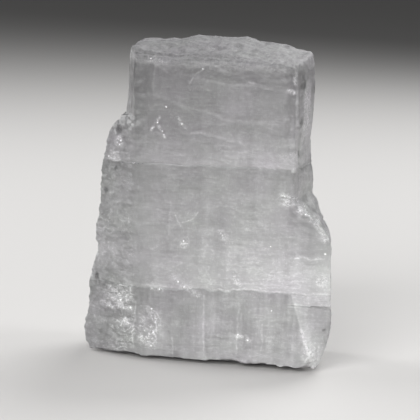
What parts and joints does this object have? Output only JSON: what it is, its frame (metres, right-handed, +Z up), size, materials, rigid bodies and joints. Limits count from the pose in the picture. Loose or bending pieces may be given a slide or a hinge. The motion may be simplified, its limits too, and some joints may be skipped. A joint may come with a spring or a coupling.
{
  "type": "beryllonite crystal",
  "caption": "Blocky broken crystal with a flat cleavage face in front, a domed rough break on top, lumpy flanks and level parting cracks, standing upright on its base.",
  "frame": {"origin": "centre of the bounding box's footprint, on the surface that the crystal rests on", "axes": "+Z up along the crystal's long direction, -Y out of its broad front cleavage face, +X to the right as that face is seen"},
  "size_m": [0.0248, 0.0122, 0.0317],
  "materials": {
    "crystal": "milky translucent, vitreous on the cleavage faces, rougher on the breaks"
  },
  "bodies": {
    "root": {"beryllonite_crystal": "crystal"}
  },
  "joints": []
}
